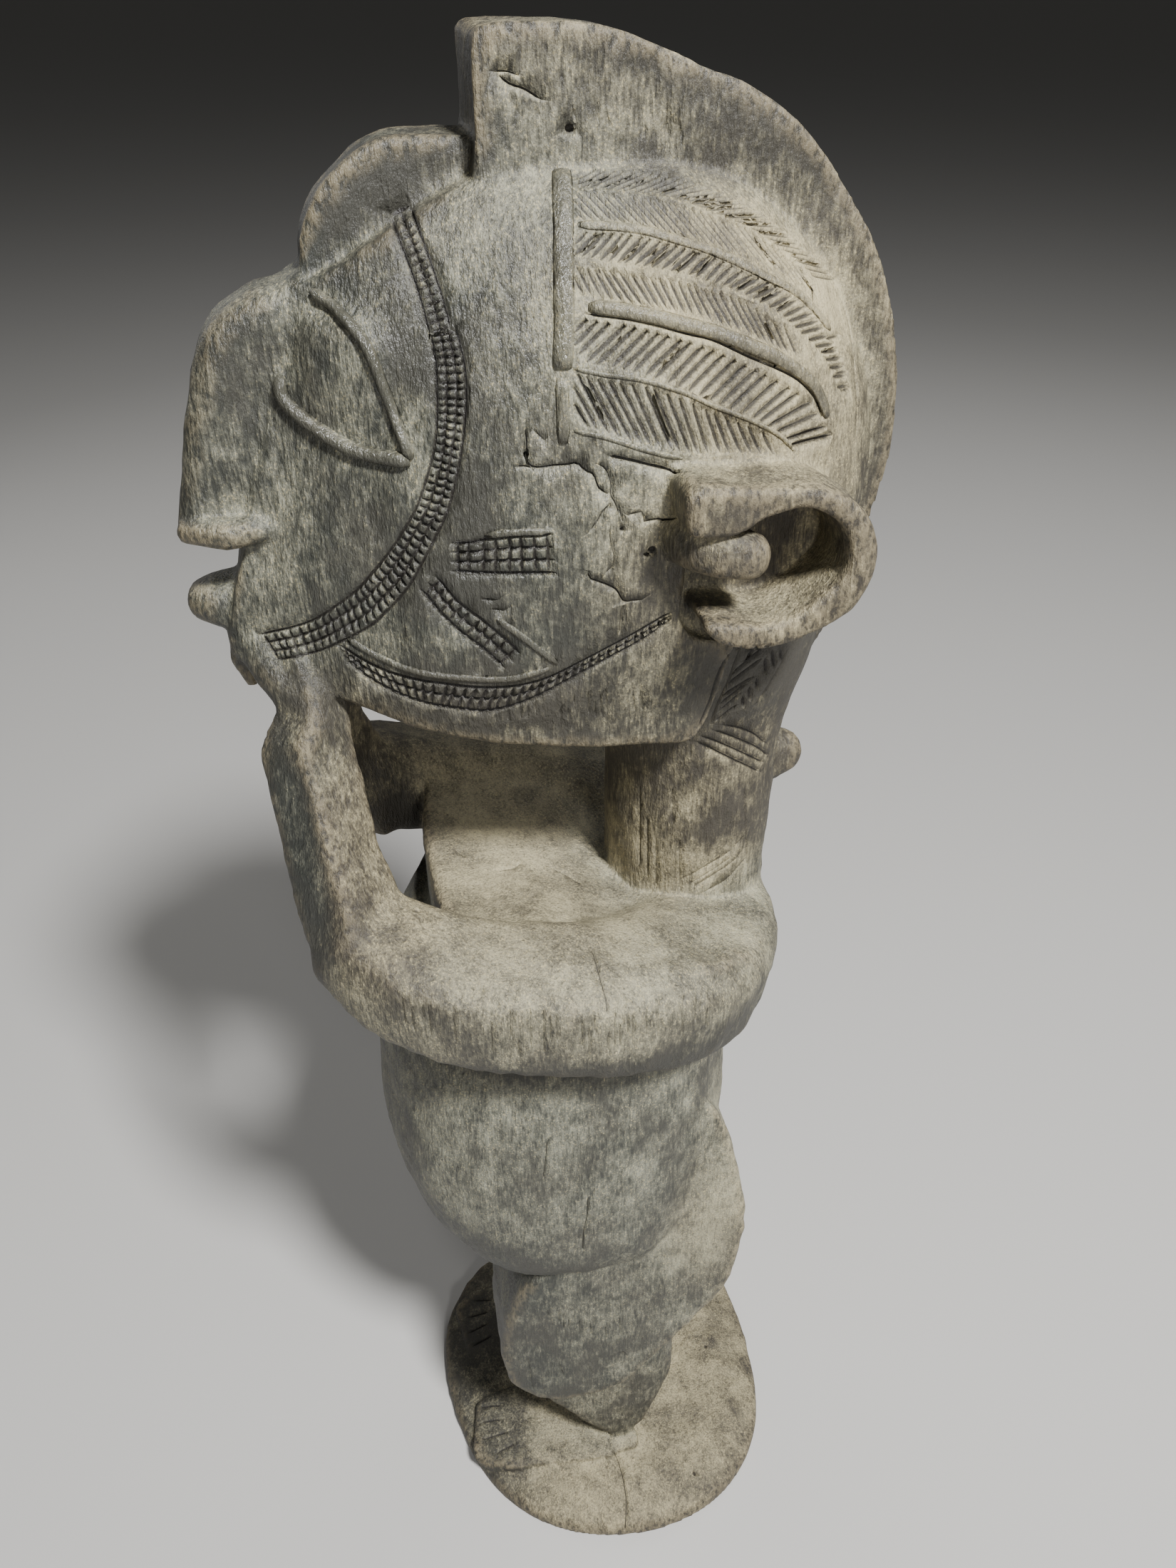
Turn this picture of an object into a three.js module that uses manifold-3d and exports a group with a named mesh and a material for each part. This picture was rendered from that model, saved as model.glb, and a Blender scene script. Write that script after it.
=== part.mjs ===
// A nimba figure carved from one log: a woman with a great crested head, who stands with bent knees on a
// round plinth and holds her chin in both hands. Plinth, figure and head are the same block of wood, so this
// is one solid. Millimetres, +Z up. She looks along -Y, her left side is +X, and the origin is under the
// middle of the plinth.

import * as THREE from "three";
import { mergeVertices } from "three/addons/utils/BufferGeometryUtils.js";
import Module from "manifold-3d";

const wasm = await Module();
wasm.setup();

// Driving sizes
const TOTAL_HEIGHT = 980;
const PLINTH_RADIUS = 135;
const PLINTH_TOP = 23;
const LEG_APART = 48;
const BELLY_HALF_WIDTH = 108;
const BELLY_FRONT = -148;
const BACK = 72;
const ARM_LEVEL = 552;
const ARM_SPREAD = 104;
const YOKE_FOOT = 515;
const NECK_RADIUS = 47;
const NECK_Y = 46;
const HEAD_HALF_WIDTH = 76;
const HEAD_WIDEST_Z = 790;
const HEAD_TOP = 942;
const HEAD_BACK = 126;
const FACE_WEDGE_LENGTH = 150;
const CREST_HALF_THICKNESS = 26;
const NOSE_TIP_Y = -201;
const EAR_SPREAD = 104;

const clamp = (t) => Math.min(1, Math.max(0, t));
const v3 = (x, y, z) => new THREE.Vector3(x, y, z);

// A closed skin through rings of equally many points, with a fan over each end ring.
function skin(rings) {
  const count = rings[0].length;
  const middle = (ring) => ring.reduce((sum, p) => sum.add(p), v3(0, 0, 0)).divideScalar(count);
  const points = [...rings.flat(), middle(rings[0]), middle(rings.at(-1))];
  const lastRing = (rings.length - 1) * count;
  const triangles = [];
  for (let i = 0; i < count; i++) {
    const next = (i + 1) % count;
    for (let start = 0; start < lastRing; start += count) {
      const [a, b] = [start + i, start + next];
      triangles.push(a, b, b + count, a, b + count, a + count);
    }
    triangles.push(points.length - 2, next, i);
    triangles.push(points.length - 1, lastRing + i, lastRing + next);
  }
  const geometry = new THREE.BufferGeometry().setFromPoints(points);
  geometry.setIndex(triangles);
  return geometry;
}

// A solid from a closed geometry, turned right side out.
function solid(geometry) {
  const bare = geometry.clone();
  bare.deleteAttribute("normal");
  bare.deleteAttribute("uv");
  const merged = mergeVertices(bare, 1e-3);
  const vertProperties = merged.attributes.position.array;
  const triVerts = new Uint32Array(merged.index.array);
  const make = () => new wasm.Manifold(new wasm.Mesh({ numProp: 3, vertProperties, triVerts }));
  const made = make();
  if (made.volume() > 0) return made;
  for (let i = 0; i < triVerts.length; i += 3) {
    [triVerts[i], triVerts[i + 1]] = [triVerts[i + 1], triVerts[i]];
  }
  return make();
}

const joined = (solids) => solids.reduce((whole, piece) => whole.add(piece));
const bothSides = (piece) => piece.add(piece.mirror([1, 0, 0]));

// Rows of numbers read along smooth curves, with so many steps from one row to the next.
function along(rows, steps) {
  const total = (rows.length - 1) * steps;
  const columns = rows[0].map((_, column) => {
    const points = rows.map((row, i) => v3(i, row[column], 0));
    const curve = new THREE.CatmullRomCurve3(points, false, "catmullrom", 0.5);
    return Array.from({ length: total + 1 }, (_, i) => curve.getPoint(i / total).y);
  });
  return Array.from({ length: total + 1 }, (_, i) => columns.map((column) => column[i]));
}

// The points of a rounded section: power 2 is an ellipse, and higher powers are boxier.
function roundedSection(sides, halfWidth, halfDepth, power) {
  const bend = (c) => Math.sign(c) * Math.abs(c) ** (2 / power);
  return Array.from({ length: sides }, (_, i) => {
    const angle = (i / sides) * 2 * Math.PI;
    return [halfWidth * bend(Math.cos(angle)), halfDepth * bend(Math.sin(angle))];
  });
}

// A stack of level sections, for what stands upright. Each row is z, middle y, half width in x and half
// depth in y.
function stack(rows, { x = 0, power = 2.4, sides = 32, steps = 2 } = {}) {
  const rings = along(rows, steps).map(([z, y, halfWidth, halfDepth]) =>
    roundedSection(sides, halfWidth, halfDepth, power).map(([across, back]) => v3(x + across, y + back, z)),
  );
  return solid(skin(rings));
}

// A limb whose sections stand square to its path. Each row is x, y, z, half width, half height.
function limb(rows, { power = 2.6, sides = 16, steps = 2, up = v3(0, 0, 1) } = {}) {
  const stations = along(rows, steps);
  const centres = stations.map(([x, y, z]) => v3(x, y, z));
  const rings = stations.map((station, i) => {
    const ahead = centres[Math.min(i + 1, centres.length - 1)];
    const behind = centres[Math.max(i - 1, 0)];
    const forward = ahead.clone().sub(behind).normalize();
    const across = forward.clone().cross(up).normalize();
    const above = across.clone().cross(forward);
    return roundedSection(sides, station[3], station[4], power).map(([p, q]) =>
      centres[i].clone().addScaledVector(across, p).addScaledVector(above, q),
    );
  });
  return solid(skin(rings));
}

// A slab that stands on edge, seen from the side as a smooth outline of y, z points. The half thickness is a
// function of y, z and the share of the way from the slab's middle to its rim.
function slab(outline, halfThickness, { x = 0, sides = 40, rings = 3, middle = null } = {}) {
  const curve = new THREE.CatmullRomCurve3(outline.map(([y, z]) => v3(0, y, z)), true, "catmullrom", 0.5);
  const rim = curve.getSpacedPoints(sides).slice(0, sides);
  const centre = middle
    ? v3(0, ...middle)
    : rim.reduce((sum, p) => sum.add(p), v3(0, 0, 0)).divideScalar(sides);
  const ring = (share, side) =>
    rim.map((p) => {
      const q = centre.clone().lerp(p, share);
      return v3(x + side * halfThickness(q.y, q.z, share), q.y, q.z);
    });
  const shares = Array.from({ length: rings }, (_, i) => ((i + 1) / rings) ** 0.6);
  const nearSide = shares.map((share) => ring(share, 1));
  const farSide = shares.map((share) => ring(share, -1)).reverse();
  return solid(skin([...nearSide, ...farSide]));
}

// Half thickness of a slab with a flat middle and a rounded rim.
const rounded = (half, flatShare, rimShare) => (y, z, share) =>
  half * (1 - (1 - rimShare) * clamp((share - flatShare) / (1 - flatShare)) ** 2);

// The plinth: a low disc with a bevelled rim, hewn a little out of round. Each swell of its outline is a
// number of lobes, their height and their turn.
function plinth() {
  const swells = [
    [2, 3.3, 0.33],
    [3, 3.2, 0.2],
    [4, 3.4, -0.76],
  ];
  const swell = (angle) => ([lobes, height, turn]) => height * Math.cos(lobes * (angle - turn));
  const radius = (angle) => swells.map(swell(angle)).reduce((sum, part) => sum + part, PLINTH_RADIUS);
  const rim = [
    [0, 3],
    [3, 0],
    [12, 0],
    [19, 8],
    [PLINTH_TOP, 26],
    [PLINTH_TOP + 1, 70],
  ];
  const sides = 40;
  const rings = rim.map(([z, inset]) =>
    Array.from({ length: sides }, (_, i) => {
      const angle = (i / sides) * 2 * Math.PI;
      const r = radius(angle) - inset;
      return v3(r * Math.cos(angle), r * Math.sin(angle), z);
    }),
  );
  return solid(skin(rings));
}

// One bent leg. The thigh drops from the buttock to a blunt knee, and the calf tapers back to the flat foot.
function leg() {
  const thigh = slab(
    [
      [20, 430],
      [46, 424],
      [59, 398],
      [70, 355],
      [76, 318],
      [75, 282],
      [67, 240],
      [53, 215],
      [34, 188],
      [13, 160],
      [-2, 142],
      [-20, 132],
      [-46, 130],
      [-70, 134],
      [-85, 150],
      [-90, 175],
      [-90, 205],
      [-82, 250],
      [-68, 282],
      [-20, 310],
      [5, 360],
    ],
    (y, z) => 39 - 10 * clamp((-45 - y) / 45) ** 1.5 - 8 * clamp((z - 320) / 70),
    { x: LEG_APART + 4, sides: 36, rings: 3 },
  );
  const calf = stack(
    [
      [16, 2, 28, 9],
      [36, -1, 31, 13],
      [50, -2, 33, 22],
      [79, -7, 34, 38],
      [102, -11, 34, 50],
      [122, -16, 34, 57],
      [139, -21, 34, 62],
      [160, -22, 34, 61],
      [176, -26, 32, 57],
      [192, -32, 28, 50],
    ],
    { x: LEG_APART - 3, power: 5, sides: 20, steps: 1 },
  );
  const foot = limb(
    [
      [LEG_APART + 4, 4, 22, 34, 7],
      [LEG_APART + 4, -30, 22, 35, 7],
      [LEG_APART + 1, -64, 21, 34, 7],
      [LEG_APART - 1, -88, 20, 31, 7],
      [LEG_APART - 3, -102, 19, 28, 6],
      [LEG_APART - 4, -109, 18, 23, 6],
    ],
    { power: 5, sides: 12, steps: 1 },
  );
  return joined([thigh, calf, foot]);
}

// Belly, back and chest as one barrel, with a yoke that fills the corner between the chest and the arms. The
// top of the yoke slopes down to the back and rises a little at the sides.
function torso() {
  const section = (z, front, back, halfWidth) => [z, (front + back) / 2, halfWidth, (back - front) / 2];
  const barrel = stack(
    [
      section(243, -52, 24, 34),
      section(252, -74, 38, 55),
      section(268, -98, 52, 74),
      section(285, -113, 60, 87),
      section(300, -122, 64, 97),
      section(330, -136, 69, 106),
      section(390, BELLY_FRONT, BACK, BELLY_HALF_WIDTH),
      section(450, BELLY_FRONT + 3, BACK, 104),
      section(500, BELLY_FRONT + 12, BACK, 98),
      section(540, -116, BACK, 96),
    ],
    { power: 2.4, sides: 30, steps: 1 },
  );
  const yokeTop = (x, y) => 561 - (y < 0 ? 0.2 : 0.15) * y + 13 * (x / 100) ** 2;
  const yokeRing = (inset, height) =>
    roundedSection(30, 118 - inset, 92 - inset, 3).map(([x, y]) => v3(x, y - 14, height(x, y - 14)));
  const yoke = solid(
    skin([
      yokeRing(0, () => YOKE_FOOT),
      yokeRing(0, (x, y) => yokeTop(x, y) - 4),
      yokeRing(4, yokeTop),
      yokeRing(30, yokeTop),
      yokeRing(60, yokeTop),
    ]),
  );
  return barrel.add(yoke);
}

// The arms leave the back as one thick ring, run forward level with the chest and bend up to the chin. The
// forearm is hewn four-square, with one arris towards the side.
function arm() {
  const upper = limb(
    [
      [-1, 48, ARM_LEVEL - 22, 43, 31],
      [46, 45, ARM_LEVEL - 22, 43, 31],
      [86, 15, ARM_LEVEL - 13, 41, 33],
      [ARM_SPREAD, -32, ARM_LEVEL + 2, 35, 33],
      [ARM_SPREAD - 2, -84, ARM_LEVEL + 13, 33, 31],
      [ARM_SPREAD - 11, -120, ARM_LEVEL + 25, 30, 30],
      [ARM_SPREAD - 20, -139, ARM_LEVEL + 38, 25, 26],
    ],
    { power: 3.6, sides: 20 },
  );
  const forearm = limb(
    [
      [86, -134, 573, 27, 27],
      [80, -145, 598, 27, 27],
      [65, -153, 635, 23, 23],
      [50, -158, 672, 22, 22],
      [44, -159, 687, 20, 20],
      [36, -154, 706, 15, 15],
      [27, -157, 722, 17, 17],
    ],
    { power: 1.4, sides: 16, steps: 1, up: v3(0, -1, 0) },
  );
  const hand = limb(
    [
      [34, -158, 712, 12, 12],
      [26, -166, 722, 12, 11],
      [18, -174, 732, 10, 9],
      [14, -178, 740, 8, 8],
    ],
    { power: 2.4, sides: 10, steps: 1 },
  );
  return joined([upper, forearm, hand]);
}

// The neck is a plain post that swells into the nape under the ears.
function neck() {
  const radius = NECK_RADIUS;
  return stack(
    [
      [540, NECK_Y, radius, radius],
      [600, NECK_Y, radius, radius],
      [640, NECK_Y, radius, radius + 1],
      [667, NECK_Y, radius + 2, radius + 4],
      [695, NECK_Y, 56, 57],
      [724, NECK_Y, 61, 62],
      [775, NECK_Y, 66, 68],
    ],
    { power: 2.15, sides: 24, steps: 1 },
  );
}

// Where the front of the face stands at a height z, without the nose.
const faceFront = (z) => (z > 890 ? -134 : -188 + Math.max(0, z - 726) * 0.34);

// Half width of the head: a wedge towards the face, a dome above, and cheeks that draw in a little below.
function headHalfWidth(y, z) {
  const fromFront = clamp((y - faceFront(z)) / FACE_WEDGE_LENGTH);
  const wedge = 0.3 + 0.7 * Math.sin((Math.PI / 2) * fromFront);
  const rise = clamp((z - HEAD_WIDEST_Z) / (HEAD_TOP - HEAD_WIDEST_Z));
  const backLimit = HEAD_BACK - 26 * clamp((HEAD_WIDEST_Z - z) / 90) ** 1.5;
  const back = clamp((y - 8) / (backLimit - 8));
  const dome = Math.max(0, 1 - Math.hypot(rise, back) ** 2.8) ** 0.55;
  const jaw = 1 - 0.12 * clamp((HEAD_WIDEST_Z - z) / 100) ** 2;
  return Math.max(5, HEAD_HALF_WIDTH * wedge * dome * jaw);
}

const onHead = (y, z, proud) => [headHalfWidth(y, z) + proud, y, z];

function skull() {
  return slab(
    [
      [-188, 730],
      [-182, 760],
      [-168, 802],
      [-150, 850],
      [-135, 888],
      [-118, 901],
      [-95, 914],
      [-62, 931],
      [-20, 939],
      [30, 933],
      [66, 916],
      [94, 886],
      [110, 852],
      [116, 812],
      [104, 772],
      [70, 754],
      [46, 738],
      [38, 712],
      [31, 688],
      [22, 681],
      [0, 683],
      [-50, 689],
      [-100, 699],
      [-140, 713],
      [-170, 720],
    ],
    headHalfWidth,
    { sides: 50, rings: 5, middle: [-20, 800] },
  );
}

// The tall crest over the crown runs down to the nape, and a lower one stands on the forehead.
function crests() {
  const crown = slab(
    [
      [-60, 920],
      [-61, 948],
      [-57, TOTAL_HEIGHT - 5],
      [-42, TOTAL_HEIGHT],
      [-12, TOTAL_HEIGHT - 2],
      [20, 969],
      [52, 956],
      [80, 936],
      [103, 908],
      [119, 875],
      [127, 840],
      [129, 808],
      [124, 772],
      [112, 732],
      [97, 704],
      [70, 720],
      [60, 780],
      [30, 860],
      [-20, 905],
    ],
    rounded(CREST_HALF_THICKNESS, 0.85, 0.8),
    { sides: 40, rings: 2, middle: [60, 850] },
  );
  const brow = slab(
    [
      [-56, 942],
      [-80, 944],
      [-100, 942],
      [-118, 931],
      [-130, 916],
      [-134, 904],
      [-131, 891],
      [-110, 880],
      [-70, 900],
      [-50, 925],
    ],
    rounded(15, 0.7, 0.5),
    { sides: 24, rings: 2 },
  );
  return crown.add(brow);
}

// Nose with its two flat nostrils, and the lips as a knob under it.
function noseAndLips() {
  const nose = slab(
    [
      [-128, 893],
      [-146, 891],
      [-164, 884],
      [-178, 870],
      [-186, 850],
      [-194, 820],
      [NOSE_TIP_Y + 1, 796],
      [NOSE_TIP_Y, 789],
      [-194, 784],
      [-170, 783],
      [-130, 784],
      [-110, 830],
    ],
    rounded(20, 0.5, 0.5),
    { sides: 28, rings: 2 },
  );
  const nostril = limb(
    [
      [20, -160, 792, 8, 6],
      [22, -180, 792, 9, 7],
      [17, -196, 791, 8, 6],
    ],
    { power: 2.2, sides: 10, steps: 1 },
  );
  const lips = limb(
    [
      [0, -170, 752, 17, 14],
      [0, -186, 751, 16, 13],
      [0, -196, 750, 13, 10],
      [0, -202, 750, 8, 6],
    ],
    { power: 2.2, steps: 1 },
  );
  return joined([nose, bothSides(nostril), lips]);
}

// The narrow eye stands out between two raised rims that meet at its outer corner.
function eye() {
  const rim = (points) =>
    limb(points.map(([y, z]) => [...onHead(y, z, 0), 5, 4]), { power: 2, sides: 8, steps: 1 });
  const upper = rim([
    [-134, 893],
    [-123, 888],
    [-112, 874],
    [-106, 858],
    [-99, 828],
  ]);
  const lower = rim([
    [-148, 866],
    [-145, 854],
    [-134, 840],
    [-118, 831],
    [-97, 826],
  ]);
  return upper.add(lower);
}

// A raised bar down the temple parts the face from the dressed hair.
function templeBar() {
  const rows = [930, 915, 895, 870, 845].map((z) => [...onHead(-35 - (930 - z) * 0.08, z, 0), 5, 5]);
  return limb(rows, { power: 2.6, sides: 10, steps: 1, up: v3(1, 0, 0) });
}

// The ear is a thick shell, open to the front, with a knob inside it.
function ear() {
  const arc = (y, z, halfY, halfZ, from, to, count) =>
    Array.from({ length: count }, (_, i) => {
      const angle = from + ((to - from) * i) / (count - 1);
      return new THREE.Vector2(y + halfY * Math.cos(angle), z + halfZ * Math.sin(angle));
    });
  const outer = arc(46, 789, 45, 37, 1.2, -2.15, 12);
  const inner = arc(44, 788, 34, 24, -2.0, 1.2, 10);
  const shape = new THREE.Shape([
    new THREE.Vector2(6, 829),
    new THREE.Vector2(36, 827),
    ...outer,
    ...inner,
    new THREE.Vector2(42, 814),
    new THREE.Vector2(26, 812),
    new THREE.Vector2(6, 817),
  ]);
  const depth = EAR_SPREAD - 40;
  const shell = new THREE.ExtrudeGeometry(shape, { depth, bevelEnabled: false, steps: 1 });
  shell.applyMatrix4(new THREE.Matrix4().makeBasis(v3(0, 1, 0), v3(0, 0, 1), v3(1, 0, 0)));
  shell.translate(40, 0, 0);
  const knob = limb(
    [
      [50, 12, 796, 12, 12],
      [82, 16, 797, 11, 11],
      [92, 26, 795, 11, 10],
      [95, 37, 793, 9, 9],
    ],
    { power: 2.2, sides: 12 },
  );
  const root = slab(
    [
      [10, 822],
      [50, 824],
      [84, 812],
      [88, 786],
      [70, 764],
      [40, 758],
      [14, 770],
    ],
    rounded(24, 0.5, 0.4),
    { x: 48, sides: 20, rings: 2 },
  );
  return joined([solid(shell), knob, root]);
}

function napeKnob() {
  return limb(
    [
      [0, 80, 622, 13, 16],
      [0, 98, 624, 12, 15],
      [0, 110, 627, 8, 9],
    ],
    { power: 2.3, steps: 1 },
  );
}

const figure = joined([
  plinth(),
  bothSides(leg()),
  torso(),
  bothSides(arm()),
  neck(),
  skull(),
  crests(),
  noseAndLips(),
  bothSides(eye()),
  bothSides(templeBar()),
  bothSides(ear()),
  napeKnob(),
]);

const { numProp, vertProperties, triVerts } = figure.getMesh();
const geometry = new THREE.BufferGeometry();
geometry.setAttribute("position", new THREE.BufferAttribute(vertProperties, numProp));
geometry.setIndex(new THREE.BufferAttribute(triVerts, 1));
geometry.computeVertexNormals();

const agedWood = new THREE.MeshStandardMaterial({ color: 0x6e675a, roughness: 0.72, metalness: 0 });
const nimba = new THREE.Mesh(geometry, agedWood);
nimba.name = "nimba_figure";

export default new THREE.Group().add(nimba);
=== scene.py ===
import math

import bpy
import numpy as np
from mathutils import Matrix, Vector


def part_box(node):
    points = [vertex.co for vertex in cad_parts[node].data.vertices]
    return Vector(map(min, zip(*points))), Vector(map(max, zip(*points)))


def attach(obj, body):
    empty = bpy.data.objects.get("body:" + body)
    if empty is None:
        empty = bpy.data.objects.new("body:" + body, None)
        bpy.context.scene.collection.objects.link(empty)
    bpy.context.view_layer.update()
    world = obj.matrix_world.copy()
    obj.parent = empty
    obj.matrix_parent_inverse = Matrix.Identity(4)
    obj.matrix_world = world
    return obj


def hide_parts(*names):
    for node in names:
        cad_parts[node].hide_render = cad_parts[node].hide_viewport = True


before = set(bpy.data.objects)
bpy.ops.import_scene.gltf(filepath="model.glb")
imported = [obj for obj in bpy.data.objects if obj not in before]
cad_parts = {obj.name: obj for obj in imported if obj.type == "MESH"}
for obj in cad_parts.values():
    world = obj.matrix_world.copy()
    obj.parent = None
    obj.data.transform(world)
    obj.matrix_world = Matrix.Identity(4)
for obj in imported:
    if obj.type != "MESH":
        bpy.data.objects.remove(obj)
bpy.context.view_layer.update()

import openvdb
from mathutils import Vector
from mathutils.bvhtree import BVHTree

# The view. The picture was taken by hand from the figure's left, close by and from above, with a wide
# lens. The cut patterns are placed by where it shows them, so the camera comes before the carving.
PHOTO_WIDTH = 1650
PHOTO_HEIGHT = 2200
FOCAL_PIXELS = 1655
SENSOR_MM = 36
CAMERA_PLACE = Vector((0.535, -0.126, 1.0))
CAMERA_TURN_DEG = 78
CAMERA_DIP_DEG = 35

camera_data = bpy.data.cameras.new("camera")
camera_data.sensor_width = SENSOR_MM
camera_data.lens = SENSOR_MM * FOCAL_PIXELS / PHOTO_HEIGHT
camera = bpy.data.objects.new("camera", camera_data)
camera.location = CAMERA_PLACE
camera.rotation_euler = (math.radians(90 - CAMERA_DIP_DEG), 0, math.radians(CAMERA_TURN_DEG))
bpy.context.scene.collection.objects.link(camera)
bpy.context.scene.camera = camera

# The log. Plinth, figure and head are one piece of hardwood, so every form is left standing in one block.
# The block is a fine grid of distances to the wood's skin, negative in the wood, and is in millimetres.
MM = 0.001
GRID_STEP = 1.8
MARGIN = 9.0
FAR_FROM_WOOD = 40.0
log_low, log_high = (np.array(corner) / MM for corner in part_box("nimba_figure"))
grid_corner = log_low - MARGIN
grid_size = np.ceil((log_high - log_low + 2 * MARGIN) / GRID_STEP).astype(int)
grid_lines = [grid_corner[i] + GRID_STEP * np.arange(grid_size[i]) for i in range(3)]
block = np.full(grid_size, FAR_FROM_WOOD, np.float32)


def leave(form, fillet=0.0, paired=False, cut=False):
    """Leaves a form standing in the block, or cuts it away, with a fillet where it meets other wood."""
    shape, lowest, highest = form
    lowest, highest = np.array(lowest, float), np.array(highest, float)
    if paired:
        highest[0] = max(abs(lowest[0]), abs(highest[0]))
        lowest[0] = -highest[0]
    reach = fillet + 3 * GRID_STEP
    first = np.clip(((lowest - reach - grid_corner) / GRID_STEP).astype(int), 0, grid_size)
    last = np.clip(((highest + reach - grid_corner) / GRID_STEP).astype(int) + 2, 0, grid_size)
    window = tuple(slice(a, b) for a, b in zip(first, last))
    x, y, z = np.ix_(*(line[s] for line, s in zip(grid_lines, window)))
    new = shape(np.abs(x) if paired else x, y, z) + 0 * (x + y + z)
    # A section's own measure stretches distances, so they are divided by how fast it grows.
    slope = np.sqrt(sum(g * g for g in np.gradient(new, GRID_STEP)))
    new = new / np.maximum(slope, 0.4)
    sign = -1 if cut else 1
    old = sign * block[window]
    share = np.clip(0.5 + 0.5 * (new - old) / max(fillet, 1e-3), 0, 1)
    block[window] = sign * (new + (old - new) * share - fillet * share * (1 - share))


# The plinth is the butt of the log, left as a low disc under the feet. It is hewn out of round, in a few
# swells that each have a number of lobes, a size and a turn, and its top falls gently to a thin worn rim.
PLINTH_RADIUS = 135.0
PLINTH_TOP = 23.0
PLINTH_RIM = 12.0
PLINTH_SLOPE = 42.0
PLINTH_EDGE = 5.0
PLINTH_SWELLS = [(2, 3.3, 0.33), (3, 3.2, 0.2), (4, 3.4, -0.76)]


def plinth_shape(x, y, z):
    angle = np.arctan2(y, x)
    rim = PLINTH_RADIUS
    for lobes, size, turn in PLINTH_SWELLS:
        rim = rim + size * np.cos(lobes * (angle - turn))
    inset = rim - np.hypot(x, y)
    rise = np.clip(inset / PLINTH_SLOPE, 0, 1)
    top = PLINTH_RIM + (PLINTH_TOP - PLINTH_RIM) * rise * (2 - rise)
    side = np.maximum(PLINTH_EDGE - inset, 0)
    over = np.maximum(z - top + PLINTH_EDGE, 0)
    return np.hypot(side, over) - PLINTH_EDGE


reach = PLINTH_RADIUS + 7
leave((plinth_shape, (-reach, -reach, 0), (reach, reach, PLINTH_TOP)))

# Legs and feet. The thigh drops from the buttock to a blunt knee, and the calf tapers down to a flat foot.
# The foot is cut in low relief on the plinth. Each leg is hewn four-square, with worn arrises.
LEG_APART = 48.0
FOOT_APART = 46.0
THIGH_OUTLINE = [
    (20, 430), (46, 424), (59, 398), (70, 355), (76, 318), (75, 282), (67, 240), (53, 215), (34, 188),
    (13, 160), (-2, 142), (-20, 132), (-46, 130), (-70, 134), (-85, 150), (-90, 175), (-90, 205),
    (-82, 250), (-68, 282), (-20, 310), (5, 360),
]


def smooth_rows(rows, steps=8, closed=False):
    """Rows of numbers read along smooth curves through them."""
    rows = np.array(rows, float)
    count = len(rows)
    spans = count if closed else count - 1
    made = []
    for i in range(spans):
        if closed:
            a, b, c, d = (rows[(i + k) % count] for k in (-1, 0, 1, 2))
        else:
            a, b, c, d = (rows[min(max(i + k, 0), count - 1)] for k in (-1, 0, 1, 2))
        for t in np.arange(steps) / steps:
            bend = (2 * a - 5 * b + 4 * c - d) * t * t + (3 * b - a - 3 * c + d) * t ** 3
            made.append(0.5 * (2 * b + (c - a) * t + bend))
    if not closed:
        made.append(rows[-1])
    return np.array(made)


def superellipse(p, q, half_p, half_q, power):
    """Roughly the distance to a rounded section: power 2 is an ellipse, and higher powers are boxier."""
    ratio = (np.abs(p / half_p) ** power + np.abs(q / half_q) ** power) ** (1 / power)
    return (ratio - 1) * np.minimum(half_p, half_q)


def stack(rows, power, x=0.0):
    """Level sections, for what stands upright. Each row is z, middle y, half width in x, half depth."""
    levels, middles, widths, depths = smooth_rows(rows).T
    middle_x = x

    def shape(x, y, z):
        middle, width, depth = (np.interp(z, levels, known) for known in (middles, widths, depths))
        ends = np.maximum(z - levels[-1], levels[0] - z)
        return np.maximum(superellipse(x - middle_x, y - middle, width, depth, power), ends)

    wide, deep = widths.max(), depths.max()
    return (
        shape,
        (middle_x - wide, middles.min() - deep, levels[0]),
        (middle_x + wide, middles.max() + deep, levels[-1]),
    )


leave(stack([
    (16, 2, 28, 9), (36, -1, 31, 13), (50, -2, 33, 22), (79, -7, 34, 38), (102, -11, 34, 50),
    (122, -16, 34, 57), (139, -21, 34, 62), (160, -22, 34, 61), (176, -26, 32, 57), (192, -32, 28, 50),
], power=5, x=LEG_APART - 3), fillet=0.5, paired=True)


def outline_distance(points, y, z):
    """Distance in the side view to a closed outline of y, z points, negative inside it."""
    nearest = np.full(np.broadcast_shapes(y.shape, z.shape), 1e9)
    inside = np.zeros(nearest.shape, bool)
    for (y0, z0), (y1, z1) in zip(points, np.roll(points, -1, axis=0)):
        dy, dz = y1 - y0, z1 - z0
        share = np.clip(((y - y0) * dy + (z - z0) * dz) / (dy * dy + dz * dz), 0, 1)
        nearest = np.minimum(nearest, (y - y0 - share * dy) ** 2 + (z - z0 - share * dz) ** 2)
        if z0 != z1:
            inside ^= ((z0 > z) != (z1 > z)) & (y < y0 + dy * (z - z0) / dz)
    return np.sqrt(nearest) * np.where(inside, -1, 1)


def arris(face, other, edge):
    """Two faces, each given by the distance to it, met in an arris of so many millimetres' radius."""
    face, other = face + edge, other + edge
    outside = np.hypot(np.maximum(face, 0), np.maximum(other, 0))
    return outside + np.minimum(np.maximum(face, other), 0) - edge


def slab(outline, half, edge, x=0.0):
    """A form on edge, with a smooth outline of y, z points, a half thickness and a rounded rim."""
    points = smooth_rows(outline, closed=True)
    middle_x = x

    def shape(x, y, z):
        side = np.abs(x - middle_x) - (half(y, z) if callable(half) else half)
        return arris(outline_distance(points, y, z), side, edge)

    wide = half(*np.meshgrid(points[:, 0], points[:, 1])).max() if callable(half) else half
    return shape, (x - wide, *points.min(axis=0)), (x + wide, *points.max(axis=0))


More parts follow.
